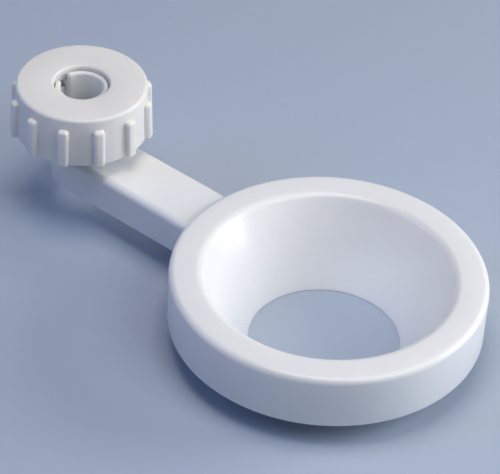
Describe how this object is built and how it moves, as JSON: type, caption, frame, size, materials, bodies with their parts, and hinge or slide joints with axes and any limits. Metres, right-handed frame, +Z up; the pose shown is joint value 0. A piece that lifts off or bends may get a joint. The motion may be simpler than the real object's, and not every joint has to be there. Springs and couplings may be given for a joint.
{
  "type": "retort stand funnel holder",
  "caption": "Plastic funnel holder for a retort stand: a ring with a conical funnel seat on a straight arm, gripped on the rod by a split collet and a ribbed screw nut.",
  "frame": {"origin": "on the axis of the stand's rod, level with the lower edge of the ring's skirt", "axes": "+Z up along the rod; +X from the rod to the ring; +Y completes a right-handed frame"},
  "size_m": [0.1646, 0.092, 0.0442],
  "materials": {
    "holder_plastic": "white moulded polypropylene, softly glossy",
    "collet_plastic": "white moulded polypropylene, satin",
    "nut_plastic": "white moulded polypropylene, fine matt top and satin sides"
  },
  "bodies": {
    "holder": {"funnel_ring": "holder_plastic", "arm": "holder_plastic", "clamp_boss": "holder_plastic"},
    "collet": {"split_collet": "collet_plastic"},
    "nut": {"clamp_nut": "nut_plastic"}
  },
  "joints": [
    {"name": "collet_slide", "type": "slide", "parent": "holder", "child": "collet", "axis": [0, 0, 1], "range_m": [-0.00065, 0.0061]},
    {"name": "nut_turn", "type": "hinge", "parent": "collet", "child": "nut", "pos_m": [0, 0, 0.0198], "axis": [0, 0, 1], "range_deg": [-75, 720]}
  ],
  "couplings": [
    {"joint": "collet_slide", "follows": "nut_turn", "m_per_rad": 0.00047746}
  ]
}
